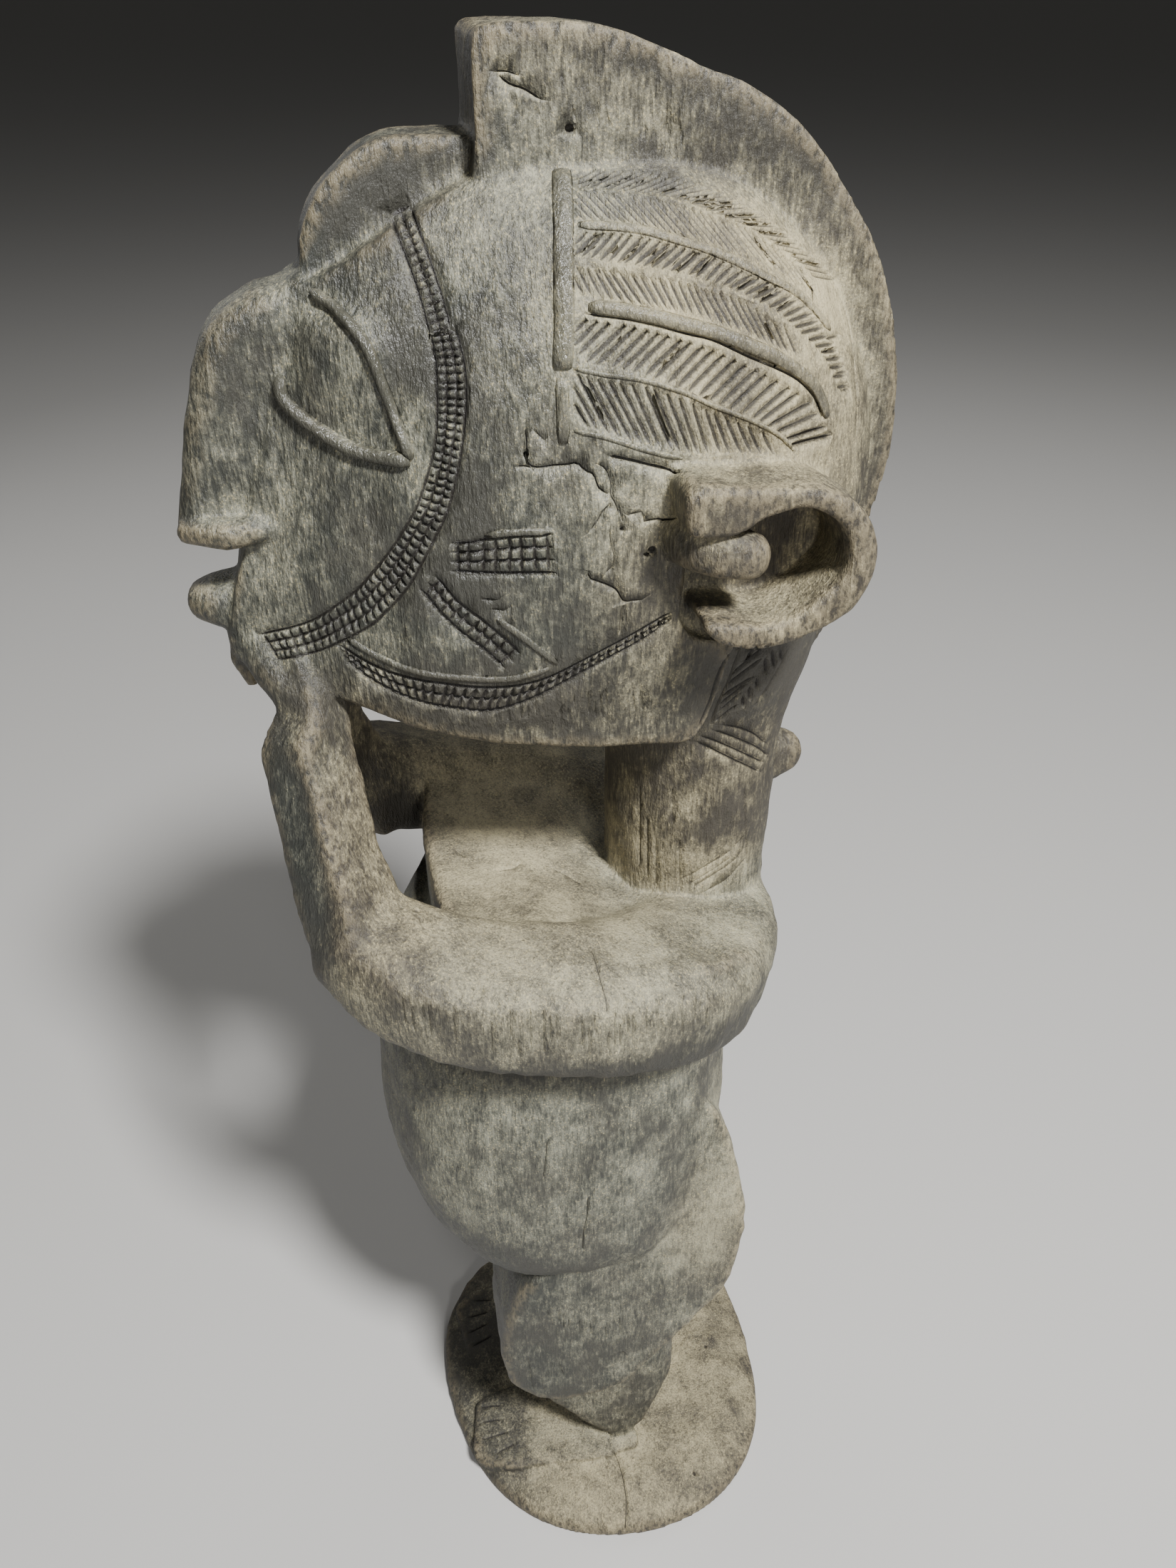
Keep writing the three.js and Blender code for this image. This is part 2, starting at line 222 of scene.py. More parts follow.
def thigh_half_width(y, z):
    """The thigh thins towards the knee, and again where it goes up into the trunk."""
    return 39 - 10 * np.clip((-45 - y) / 45, 0, 1) ** 1.5 - 8 * np.clip((z - 320) / 70, 0, 1)


leave(slab(THIGH_OUTLINE, thigh_half_width, 4, x=LEG_APART + 4), fillet=0.5, paired=True)


def limb(rows, power, up=(0, 0, 1), turn=0.0):
    """Sections square to a path. Each row is x, y, z, half width, half height; turn twists the section."""
    stations = smooth_rows(rows, 4)
    ahead = np.gradient(stations[:, :3], axis=0)
    ahead /= np.linalg.norm(ahead, axis=1)[:, None]
    level = np.cross(ahead, up)
    level /= np.linalg.norm(level, axis=1)[:, None]
    above = np.cross(level, ahead)
    across = level * math.cos(turn) + above * math.sin(turn)
    above = np.cross(across, ahead)

    def shape(x, y, z):
        nearest = None
        for i in range(len(stations) - 1):
            start, end = stations[i], stations[i + 1]
            way = end[:3] - start[:3]
            length = np.linalg.norm(way)
            way = way / length
            offset = [value - start[k] for k, value in enumerate((x, y, z))]
            along = sum(offset[k] * way[k] for k in range(3))
            share = np.clip(along / length, 0, 1)
            beyond = np.abs(along - share * length)
            p = sum(offset[k] * (across[i][k] + share * (across[i + 1][k] - across[i][k])) for k in range(3))
            q = sum(offset[k] * (above[i][k] + share * (above[i + 1][k] - above[i][k])) for k in range(3))
            half_p = start[3] + (end[3] - start[3]) * share
            half_q = start[4] + (end[4] - start[4]) * share
            cap = (beyond / np.minimum(half_p, half_q)) ** power
            ratio = np.abs(p / half_p) ** power + np.abs(q / half_q) ** power + cap
            here = (ratio ** (1 / power) - 1) * np.minimum(half_p, half_q)
            nearest = here if nearest is None else np.minimum(nearest, here)
        return nearest

    reach = stations[:, 3:5].max(axis=1)[:, None] * 1.2
    return shape, (stations[:, :3] - reach).min(axis=0), (stations[:, :3] + reach).max(axis=0)


leave(limb([
    (FOOT_APART + 6, 4, 22, 34, 7), (FOOT_APART + 6, -30, 22, 35, 7), (FOOT_APART + 3, -64, 21, 34, 7),
    (FOOT_APART + 1, -88, 20, 31, 7), (FOOT_APART - 1, -102, 19, 28, 6), (FOOT_APART - 2, -109, 18, 23, 6),
], power=6), fillet=0.3, paired=True)

# The trunk. Belly, back and chest are one barrel of solid wood, hewn round with the adze. It hangs forward
# over the thighs and draws in below, where it sits between them.
BELLY_HALF_WIDTH = 108.0
BELLY_FRONT = -148.0
BACK = 72.0


def section(z, front, back, half_width):
    """A level section of the trunk, given by its front, its back and half its width."""
    return z, (front + back) / 2, half_width, (back - front) / 2


leave(stack([
    section(243, -52, 24, 34), section(252, -74, 38, 55), section(268, -98, 52, 74),
    section(285, -113, 60, 87), section(300, -122, 64, 97), section(330, -136, 69, 106),
    section(390, BELLY_FRONT, BACK, BELLY_HALF_WIDTH), section(450, BELLY_FRONT + 3, BACK, 104),
    section(500, BELLY_FRONT + 12, BACK, 98), section(540, -116, BACK, 96),
], power=2.4), fillet=0.5)

# A yoke fills the corner between chest and arms. Its top slopes down from the chest to the neck, and rises
# a little at the sides to lie flush with the arms.
YOKE_FOOT = 510.0
YOKE_SLOPE_Y = [-100, -50, 0, 40, 80]
YOKE_SLOPE_Z = [581, 575, 561, 554, 549]
YOKE_SIDE_RISE = 13.0


def yoke_shape(x, y, z):
    top = np.interp(y, YOKE_SLOPE_Y, YOKE_SLOPE_Z) + YOKE_SIDE_RISE * (np.abs(x) / 100) ** 2
    side = superellipse(x, y + 14, 118, 92, 3)
    return np.maximum(arris(side, z - top, 4), YOKE_FOOT - z)


leave((yoke_shape, (-118, -106, YOKE_FOOT), (118, 78, 602)), fillet=4)

# The arms leave the back as one thick ring, run forward level with the chest and bend up to the chin. The
# forearm is hewn four-square and stands on edge, with one arris towards the side.
ARM_LEVEL = 552.0
ARM_SPREAD = 104.0
leave(limb([
    (-1, 48, ARM_LEVEL - 22, 43, 31), (46, 45, ARM_LEVEL - 22, 43, 31), (86, 15, ARM_LEVEL - 13, 41, 33),
    (ARM_SPREAD, -32, ARM_LEVEL + 2, 35, 33), (ARM_SPREAD - 2, -84, ARM_LEVEL + 13, 33, 31),
    (ARM_SPREAD - 11, -120, ARM_LEVEL + 25, 30, 30), (ARM_SPREAD - 20, -139, ARM_LEVEL + 38, 25, 26),
], power=3.6, turn=math.radians(8)), fillet=7, paired=True)
leave(limb([
    (86, -134, 573, 21, 21), (80, -145, 598, 20, 20), (65, -153, 635, 17.5, 17.5),
    (50, -158, 672, 17, 17), (44, -159, 687, 15.5, 15.5), (36, -154, 706, 11.5, 11.5),
    (27, -157, 722, 13, 13),
], power=7, up=(0, -1, 0), turn=math.radians(45)), fillet=4, paired=True)

# The neck is a plain round post that swells into the nape under the ears. A small knob is left standing at
# its back, smooth and blunt from handling.
NECK_RADIUS = 47.0
NECK_Y = 46.0
leave(stack([
    (540, NECK_Y, NECK_RADIUS, NECK_RADIUS), (600, NECK_Y, NECK_RADIUS, NECK_RADIUS),
    (640, NECK_Y, NECK_RADIUS, NECK_RADIUS + 1), (667, NECK_Y, NECK_RADIUS + 2, NECK_RADIUS + 4),
    (695, NECK_Y, 56, 57), (724, NECK_Y, 61, 62), (775, NECK_Y, 66, 68),
], power=2.15), fillet=2)
leave(limb([(0, 80, 622, 13, 16), (0, 96, 624, 12, 14), (0, 104, 626, 8, 9)], power=2.6), fillet=2)

# The head is one big wedge-shaped block: narrow at the face, a dome above, and flat-sided below. The jaw
# ends in a sharp, level edge.
HEAD_HALF_WIDTH = 76.0
HEAD_WIDEST = 790.0
HEAD_TOP = 942.0
HEAD_BACK = 126.0
FACE_WEDGE = 150.0
CHIN_LEVEL = 726.0
FACE_LEAN = 0.34
HEAD_OUTLINE = [
    (-188, 730), (-182, 760), (-168, 802), (-150, 850), (-135, 888), (-118, 901), (-95, 914), (-62, 931),
    (-20, 939), (30, 933), (66, 916), (94, 886), (110, 852), (116, 812), (104, 772), (70, 754),
    (46, 738), (38, 712), (31, 688), (22, 681), (0, 683), (-50, 689), (-100, 699), (-140, 713), (-170, 720),
]


def head_half_width(y, z):
    """The face leans back from chin to brow and is a narrow wedge, and the skull closes in a dome."""
    lean = (z - CHIN_LEVEL) * FACE_LEAN
    face_front = -188 + np.logaddexp(0, lean / 5) * 5 - np.logaddexp(0, (lean - 55) / 5) * 5
    wedge = 0.3 + 0.7 * np.sin(math.pi / 2 * np.clip((y - face_front) / FACE_WEDGE, 0, 1))
    below = np.clip(HEAD_WIDEST - z, 0, 90) / 90
    back_limit = HEAD_BACK - 26 * below ** 1.5
    rise = np.clip((z - HEAD_WIDEST) / (HEAD_TOP - HEAD_WIDEST), 0, 1)
    back = np.clip((y - 8) / (back_limit - 8), 0, 1)
    dome = np.maximum(0, 1 - np.hypot(rise, back) ** 2.8) ** 0.55
    return HEAD_HALF_WIDTH * wedge * dome * (1 - 0.12 * below ** 2)


leave(slab(HEAD_OUTLINE, head_half_width, 3), fillet=4)

# Two crests crown the head, both of one piece with it. A tall one runs from the crown down to the nape,
# and a low round one stands on the brow.
CREST_OUTLINE = [
    (-60, 920), (-62, 948), (-62, 972), (-60, 979), (-50, 981), (-12, 979), (20, 969), (52, 956),
    (80, 936), (103, 908), (119, 875), (127, 840), (129, 808), (124, 772), (112, 732), (97, 704),
    (70, 720), (60, 780), (30, 860), (-20, 905),
]
BROW_CREST_OUTLINE = [
    (-56, 942), (-80, 944), (-100, 942), (-118, 931), (-130, 916), (-134, 904), (-131, 891), (-110, 880),
    (-70, 900), (-50, 925),
]
leave(slab(CREST_OUTLINE, 26, 1), fillet=1)
leave(slab(BROW_CREST_OUTLINE, 15, 3), fillet=1)

# The closed lids swell softly over the eyes. The jaw's lower edge is chipped where it has been knocked, so
# small pebbles of wood are cut out of it.
LID_CENTRE = (28, -119, 857)
LID_RADII = (10, 25, 27)
CHIP_RADII = (7, 5, 5)
JAW_CHIPS = [
    (72, -71, 686), (73, -60, 684), (72, -42, 683), (74, -36, 681), (-72, -20, 680), (-74, -88, 690),
]


def pebble(centre, radii, turn):
    """An egg with its own width, depth and height, turned about the upright."""
    def shape(x, y, z):
        p = (x - centre[0]) * math.cos(turn) + (y - centre[1]) * math.sin(turn)
        q = (y - centre[1]) * math.cos(turn) - (x - centre[0]) * math.sin(turn)
        ratio = np.sqrt((p / radii[0]) ** 2 + (q / radii[1]) ** 2 + ((z - centre[2]) / radii[2]) ** 2)
        return (ratio - 1) * min(radii)

    reach = max(radii)
    return shape, np.array(centre) - reach, np.array(centre) + reach


leave(pebble(LID_CENTRE, LID_RADII, math.radians(-27)), fillet=5, paired=True)
for chip in JAW_CHIPS:
    leave(pebble(chip, CHIP_RADII, 0.4), cut=True)

# Nose, nostrils and lips are left standing proud of the narrow front of the face. The nose is one long
# blade from brow to tip, rounded over its ridge.
NOSE_OUTLINE = [
    (-128, 893), (-146, 891), (-164, 884), (-178, 870), (-186, 850), (-194, 820), (-200, 798), (-201, 790),
    (-194, 785), (-170, 784), (-130, 786), (-110, 830),
]
leave(slab(NOSE_OUTLINE, 19, 10), fillet=3)
leave(limb([
    (19, -158, 793, 8, 6), (21, -180, 792, 9, 7), (15, -195, 792, 8, 6),
], power=2.2), fillet=2, paired=True)
leave(limb([
    (0, -168, 752, 17, 14), (0, -186, 751, 16, 13), (0, -195, 751, 13, 10),
], power=2.2), fillet=2)

# The hands close under the chin and hold it up. Each has a blunt palm, with two stubby fingers round the
# front of the chin.
leave(limb([
    (34, -158, 712, 12, 12), (26, -166, 722, 12, 11), (18, -174, 732, 10, 9), (14, -178, 740, 8, 8),
], power=2.6), fillet=4, paired=True)
FINGERS = [
    [(23, -170, 736, 6, 5), (23, -175, 724, 6, 5), (21, -172, 714, 5, 4)],
    [(12, -180, 738, 6, 5), (12, -185, 726, 6, 5), (12, -182, 713, 5, 4)],
]
for finger in FINGERS:
    leave(limb(finger, power=2.6, up=(0, -1, 0)), fillet=1, paired=True)

# The ears stand out from the sides of the head as thick shells, open to the front, with a knob inside
# each. The wood between shell and knob is cut back to a rough floor.
EAR_ROOT = 40.0
EAR_RIM = 104.0
EAR_FLOOR = 66.0
EAR_OUTLINE = [
    (9, 826), (36, 825), (66, 822), (84, 811), (92, 790), (85, 768), (68, 756), (46, 751), (26, 755),
    (18, 764), (28, 765), (46, 763), (62, 768), (76, 780), (80, 793), (74, 807), (58, 815), (42, 812),
    (26, 806), (9, 808),
]
EAR_HOLLOW = [
    (12, 820), (14, 812), (15, 770), (15, 752), (30, 742), (60, 744), (92, 760), (104, 790), (92, 812),
    (60, 820),
]
leave(slab(EAR_HOLLOW, 40, 2, x=EAR_FLOOR + 40), fillet=1, paired=True, cut=True)
leave(slab(EAR_OUTLINE, (EAR_RIM - EAR_ROOT) / 2, 3, x=(EAR_RIM + EAR_ROOT) / 2), fillet=1.5, paired=True)
leave(limb([
    (50, 12, 796, 12, 13), (82, 16, 797, 11, 12), (92, 26, 795, 11, 11), (95, 37, 793, 9, 9),
], power=2.4), fillet=2, paired=True)

# The skin. Adze, knife and scraper leave the wood uneven, in marks of these sizes, and only the underside
# is flat. The grid is then turned into one closed surface.
LONG_SWELL = 40
ADZE_MARK = 24
KNIFE_MARK = 12
SCRAPER_MARK = 6
ROUGH_BELOW = 640
rng = np.random.default_rng(7)


def unevenness(cell, stretch=(1, 1, 1)):
    """Smooth random numbers from -1 to 1 all over the grid, with lumps of about the given size."""
    steps = [max(cell * stretch[i] / GRID_STEP, 1) for i in range(3)]
    made = rng.uniform(-1, 1, [int(grid_size[i] / steps[i]) + 3 for i in range(3)])
    for axis in range(3):
        at = np.arange(grid_size[axis]) / steps[axis]
        first = at.astype(int)
        share = at - first
        share = share * share * (3 - 2 * share)
        share = share.reshape([-1 if k == axis else 1 for k in range(3)])
        made = np.take(made, first, axis) * (1 - share) + np.take(made, first + 1, axis) * share
    return made.astype(np.float32)


height = grid_lines[2].reshape(1, 1, -1)
above_floor = np.clip(height / 12, 0, 1)
marks = 1.5 * np.abs(unevenness(ADZE_MARK, (1, 1, 1.5)))
marks = marks + 1.1 * np.abs(unevenness(KNIFE_MARK, (1, 1, 1.4))) - 0.9
marks += 0.5 * unevenness(SCRAPER_MARK, (1, 1, 1.3)) * np.clip((ROUGH_BELOW - height) / 80, 0.12, 1)
block += above_floor * (0.7 * unevenness(LONG_SWELL) + marks)
block = np.maximum(block, -height)

surface = openvdb.FloatGrid(background=3 * GRID_STEP)
surface.copyFromArray(np.clip(block, -3 * GRID_STEP, 3 * GRID_STEP).astype(np.float32))
corners, quads = surface.convertToQuads(isovalue=0.0)
corners = (corners * GRID_STEP + grid_corner) * MM
mesh = bpy.data.meshes.new("nimba_skin")
mesh.from_pydata(corners.tolist(), [], quads.tolist())
figure = bpy.data.objects.new("nimba", mesh)
bpy.context.scene.collection.objects.link(figure)


def apply_modifier(kind, **settings):
    """Puts one modifier on the figure and keeps its result as the figure's mesh."""
    modifier = figure.modifiers.new("work", kind)
    for name, value in settings.items():
        setattr(modifier, name, value)
    made = bpy.data.meshes.new_from_object(figure.evaluated_get(bpy.context.evaluated_depsgraph_get()))
    figure.modifiers.clear()
    figure.data = made


SKIN_FACES = 94000
apply_modifier("TRIANGULATE")
apply_modifier("DECIMATE", ratio=SKIN_FACES / len(figure.data.polygons))

# The knife work. Every cut is a V-shaped groove and every raised line a rounded rib. Both are laid on the
# skin along a line of the picture, on both sides, and then cut out of the wood or joined to it.
skin_tree = BVHTree.FromObject(figure, bpy.context.evaluated_depsgraph_get())
camera_turn = camera.rotation_euler.to_matrix()


def sight(pixel):
    """The direction in which the camera sees a pixel of the picture."""
    across = (pixel[0] - PHOTO_WIDTH / 2) / FOCAL_PIXELS
    upward = (PHOTO_HEIGHT / 2 - pixel[1]) / FOCAL_PIXELS
    return (camera_turn @ Vector((across, upward, -1))).normalized()


def sighted(pixels, steps=5):
    """The path on the skin that is seen along a smooth line through pixels of the picture."""
    line = smooth_rows(pixels, steps)
    hits = [skin_tree.ray_cast(CAMERA_PLACE, sight(pixel))[0] for pixel in line]
    return np.array([hit for hit in hits if hit is not None])


def even(path, spacing):
    """The path again, with points at even spacing in millimetres."""
    lengths = np.concatenate([[0], np.cumsum(np.linalg.norm(np.diff(path, axis=0), axis=1))])
    count = max(int(round(lengths[-1] / (spacing * MM))), 1) + 1
    at = np.linspace(0, lengths[-1], count)
    return np.stack([np.interp(at, lengths, path[:, k]) for k in range(3)], axis=1)


def skin_frames(path):
    """Places on the skin nearest to a path, each with the way along, the way across and the way out."""
    found = [skin_tree.find_nearest(Vector(point)) for point in path]
    found = [hit for i, hit in enumerate(found) if i == 0 or (hit[0] - found[i - 1][0]).length > 0.3 * MM]
    if len(found) < 2:
        return [], [], []
    places = np.array([hit[0] for hit in found])
    outward = np.array([hit[1] for hit in found])
    padded = np.concatenate([outward[:1], outward, outward[-1:]])
    outward = padded[:-2] + 2 * padded[1:-1] + padded[2:]
    ahead = np.gradient(places, axis=0)
    across = np.cross(ahead, outward)
    across /= np.linalg.norm(across, axis=1)[:, None] + 1e-9
    outward = np.cross(across, ahead)
    outward /= np.linalg.norm(outward, axis=1)[:, None] + 1e-9
    return places, across, outward


class Tooling:
    """Solids with a constant section laid along paths, gathered in one mesh."""

    def __init__(self):
        self.corners = []
        self.faces = []

    def lay(self, path, section, taper):
        """Sweeps a section of (across, out) points in millimetres; its ends shrink to the taper's share."""
        if len(path) < 2:
            return
        places, across, outward = skin_frames(path)
        if len(places) < 2:
            return
        start = len(self.corners)
        sides = len(section)
        last = len(places) - 1
        for i, (place, side, out) in enumerate(zip(places, across, outward)):
            size = taper if i in (0, last) else 1
            for p, q in section:
                self.corners.append(place + (side * p + out * (q if q > 0 else q * size)) * size * MM)
        for i in range(last):
            for k in range(sides):
                a = start + i * sides + k
                b = start + i * sides + (k + 1) % sides
                self.faces.append((a, b, b + sides, a + sides))
        self.faces.append(tuple(range(start, start + sides))[::-1])
        self.faces.append(tuple(range(start + last * sides, start + (last + 1) * sides)))

    def drill(self, place, outward, radius, depth):
        """A small hole, square to the skin, that narrows to its floor."""
        turn = outward.to_track_quat("Z", "Y").to_matrix()
        start = len(self.corners)
        sides = 9
        for share, level in ((1.15, 0.6), (0.5, -depth)):
            for k in range(sides):
                angle = 2 * math.pi * k / sides
                point = Vector((math.cos(angle) * radius * share, math.sin(angle) * radius * share, level))
                self.corners.append(place + turn @ point * MM)
        top, floor = list(range(start, start + sides)), list(range(start + sides, start + 2 * sides))
        self.faces += [tuple(top), tuple(floor[::-1])]
        for k in range(sides):
            self.faces.append((top[k - 1], floor[k - 1], floor[k], top[k]))

    def lay_both(self, path, section, taper):
        self.lay(path, section, taper)
        self.lay(path * (-1, 1, 1), section, taper)

    def work(self, operation):
        """Joins the solids to the figure or cuts them out of it."""
        tool_mesh = bpy.data.meshes.new("tooling")
        tool_mesh.from_pydata([tuple(c) for c in self.corners], [], self.faces)
        tool = bpy.data.objects.new("tooling", tool_mesh)
        bpy.context.scene.collection.objects.link(tool)
        apply_modifier("BOOLEAN", operation=operation, solver="MANIFOLD", object=tool)
        bpy.data.objects.remove(tool)


def groove(width, depth, lift=0.7):
    """A V-shaped section, with its mouth a little above the skin."""
    mouth = width / 2 * (1 + lift / depth)
    return [(-mouth, lift), (mouth, lift), (0, -depth)]


def rib(width, height, sunk=1.6):
    """A rounded section with its foot sunk in the wood."""
    half = width / 2
    return [
        (-half, -sunk), (-half, 0), (-half * 0.72, height * 0.7), (0, height), (half * 0.72, height * 0.7),
        (half, 0), (half, -sunk),
    ][::-1]


# Raised lines are left standing on the head: the rims of the eyes, the bar down the temple, the ridges of
# the hair and the rails beside the bands. Each has its line of the picture, its width and its height.
EYE_RIMS = [
    ([(437, 408), (468, 431), (512, 482), (533, 531), (553, 580), (577, 643)], 5.0, 4.0),
    ([(395, 527), (396, 554), (419, 580), (468, 616), (512, 636), (576, 647)], 6.6, 4.4),
]
TEMPLE_BAR = [(788, 240), (790, 300), (791, 400), (791, 470), (789, 516)]
TEMPLE_BAR_LOWER = [(788, 530), (789, 560), (790, 596), (790, 622)]
HAIR_RIDGES = [
    ([(811, 315), (895, 321), (952, 337), (989, 348), (1030, 364), (1074, 388), (1124, 414), (1165, 462)],
      4.0, 0.9),
    ([(826, 431), (860, 434), (910, 443), (965, 457), (1010, 469), (1060, 489), (1100, 508), (1140, 540),
      (1160, 585)], 6.4, 2.3),
    ([(806, 517), (850, 526), (900, 533), (958, 550), (1002, 570), (1052, 589), (1096, 612), (1113, 632)],
      2.2, 0.8),
    ([(806, 605), (850, 614), (900, 630), (930, 638), (958, 643)], 2.2, 0.8),
]
BAND_RAILS = [
    [(680, 752), (720, 747), (772, 746)],
    [(697, 868), (720, 885), (745, 903), (782, 931)],
    [(484, 893), (530, 921), (587, 943), (660, 952), (719, 952), (770, 938)],
]
raised = Tooling()
for line, width, height in EYE_RIMS:
    raised.lay_both(even(sighted(line), 3), rib(width, height), 0.6)
raised.lay_both(even(sighted(TEMPLE_BAR), 4), rib(8.4, 1.9), 0.9)
raised.lay_both(even(sighted(TEMPLE_BAR_LOWER), 4), rib(5.6, 1.3), 0.7)
for line, width, height in HAIR_RIDGES:
    raised.lay_both(even(sighted(line), 4), rib(width, height), 0.5)
for line in BAND_RAILS:
    raised.lay_both(even(sighted(line), 4), rib(3.6, 1.2), 0.5)
raised.work("UNION")


def rungs(samples, pitch, left=0):
    """Strokes of the picture at an even pitch, between samples of x, y, x, y, all right of a limit."""
    dense = smooth_rows(samples, 8)
    middle = (dense[:, :2] + dense[:, 2:]) / 2
    lengths = np.concatenate([[0], np.cumsum(np.linalg.norm(np.diff(middle, axis=0), axis=1))])
    count = max(int(lengths[-1] / pitch), 1)
    at = (np.arange(count) + 0.5 + rng.uniform(-0.14, 0.14, count)) * lengths[-1] / count
    made = []
    for x0, y0, x1, y1 in zip(*(np.interp(at, lengths, known) for known in dense.T)):
        if max(x0, x1) < left + 8:
            continue
        if x0 < left:
            x0, y0 = left, y0 + (y1 - y0) * (left - x0) / (x1 - x0)
        if x1 < left:
            x1, y1 = left, y1 + (y0 - y1) * (left - x1) / (x0 - x1)
        made.append([(x0, y0), (x1, y1)])
    return made


def edge_line(samples, share):
    """A line of the picture along a row of strokes, at a share of the way down them."""
    dense = smooth_rows(samples, 4)
    return dense[:, :2] * (1 - share) + dense[:, 2:] * share


# The bands of the face are ladders of small pads, cut between fine V grooves. One band curves from the
# crown past the eye to the chin, and three shorter ones leave it over the cheek and along the jaw.
CROWN_BAND = [
    (546, 297, 572, 283), (562, 342, 589, 328), (579, 389, 606, 375), (592, 430, 620, 418),
    (603, 472, 632, 463),
]
EYE_BAND = [
    (603, 466, 638, 458), (610, 510, 650, 508), (612, 557, 653, 557), (609, 624, 646, 636),
    (590, 697, 629, 712), (570, 737, 606, 762), (543, 778, 578, 815), (515, 812, 545, 855),
    (491, 836, 510, 884), (433, 873, 445, 914), (362, 891, 385, 926),
]
CHEEK_BAND = [(632, 762, 632, 801), (660, 762, 660, 803), (700, 754, 700, 805), (776, 750, 780, 804)]
DIAGONAL_BAND = [
    (611, 808, 590, 826), (640, 843, 620, 862), (672, 868, 650, 890), (703, 893, 683, 914),
    (730, 918, 708, 938),
]
JAW_BAND = [
    (478, 906, 482, 919), (500, 922, 512, 948), (540, 942, 555, 972), (585, 955, 590, 985),
    (620, 960, 612, 990), (660, 965, 645, 995), (697, 966, 682, 998), (735, 962, 722, 990),
    (770, 952, 760, 975), (800, 938, 792, 958), (850, 912, 846, 928), (900, 885, 898, 900),
    (942, 860, 942, 868),
]
band_rungs, band_lines = Tooling(), Tooling()
for samples, pitch, columns, width, depth in (
    (CROWN_BAND, 12, 2, 2.4, 2.1), (EYE_BAND, 11.5, 3, 2.3, 2.1), (CHEEK_BAND, 16.5, 3, 2.8, 2.3),
    (DIAGONAL_BAND, 15, 2, 2.8, 2.3), (JAW_BAND, 13.5, 2, 2.7, 2.3),
):
    for stroke in rungs(samples, pitch):
        band_rungs.lay_both(even(sighted(stroke, 4), 2.5), groove(width, depth), 0.5)
    for i in range(columns + 1):
        line = edge_line(samples, i / columns)
        band_lines.lay_both(even(sighted(line, 2), 3.5), groove(width, depth), 0.4)

# The dressed hair behind the temple bar is six rows of slanting cuts, each row leaning against the next
# like feathers. Each row has its samples of x, y, x, y, then the pitch, width and depth of its cuts.
HAIR_LEFT = 806
HAIR_ROWS = [
    ([(830, 236, 780, 262), (885, 241, 833, 264), (950, 251, 902, 270), (1005, 270, 949, 278),
      (1058, 294, 1000, 297), (1106, 329, 1060, 323), (1154, 372, 1115, 362), (1176, 396, 1143, 390)],
      12.5, 2.0, 1.3),
    ([(770, 262, 815, 308), (853, 270, 895, 314), (900, 275, 948, 330), (949, 285, 999, 343),
      (1000, 303, 1046, 362), (1036, 315, 1086, 377), (1071, 337, 1115, 393), (1102, 359, 1135, 404),
      (1130, 384, 1150, 418)], 13, 1.8, 1.6),
    ([(818, 324, 785, 356), (848, 326, 817, 360), (880, 328, 848, 366), (920, 336, 883, 370),
      (989, 356, 958, 383), (1021, 369, 996, 396), (1052, 384, 1021, 403), (1086, 399, 1052, 416),
      (1124, 424, 1095, 440), (1143, 441, 1108, 452), (1155, 459, 1124, 467), (1168, 479, 1142, 484),
      (1180, 501, 1158, 503), (1192, 545, 1176, 548)], 12.5, 2.9, 2.3),
    ([(790, 376, 812, 412), (830, 378, 851, 419), (861, 380, 895, 428), (908, 388, 933, 433),
      (955, 395, 977, 444), (989, 406, 1017, 457), (1027, 415, 1058, 472), (1055, 428, 1085, 486),
      (1083, 450, 1105, 495), (1108, 458, 1125, 502)], 13, 2.2, 1.9),
    ([(815, 446, 775, 486), (848, 452, 808, 494), (877, 456, 823, 508), (911, 464, 861, 515),
      (958, 477, 908, 527), (1002, 492, 952, 543), (1052, 515, 1002, 564), (1080, 528, 1030, 576),
      (1108, 544, 1058, 587), (1127, 556, 1071, 594), (1143, 570, 1083, 602), (1152, 590, 1096, 612),
      (1165, 604, 1106, 621), (1170, 622, 1118, 632)], 16, 3.5, 2.8),
    ([(770, 522, 815, 596), (806, 524, 850, 606), (850, 534, 897, 622), (898, 541, 936, 629),
      (930, 550, 964, 636), (974, 566, 995, 636), (1014, 584, 1036, 636), (1052, 598, 1070, 637),
      (1077, 608, 1092, 638)], 15.5, 2.9, 2.4),
]
HAIR_MARGINS = [
    ([(820, 440), (860, 444), (910, 452), (965, 468), (1000, 476), (1050, 500), (1100, 521), (1125, 536),
      (1145, 560), (1155, 590)], 1.8, 1.8),
    ([(1165, 392), (1185, 430), (1194, 470), (1200, 520), (1203, 570), (1202, 610)], 2.2, 1.5),
    ([(1178, 470), (1158, 476)], 2.6, 1.6),
    ([(1184, 500), (1166, 502)], 2.6, 1.6),
    ([(1190, 520), (1172, 524)], 2.6, 1.6),
    ([(1194, 545), (1180, 548)], 2.6, 1.6),
]
hair_cuts = [Tooling(), Tooling()]
for number, (samples, pitch, width, depth) in enumerate(HAIR_ROWS):
    for stroke in rungs(samples, pitch, HAIR_LEFT):
        hair_cuts[number % 2].lay_both(even(sighted(stroke, 5), 3.5), groove(width, depth), 0.65)
hair_lines = Tooling()
for line, width, depth in HAIR_MARGINS:
    hair_lines.lay_both(even(sighted(line, 4), 4), groove(width, depth), 0.4)

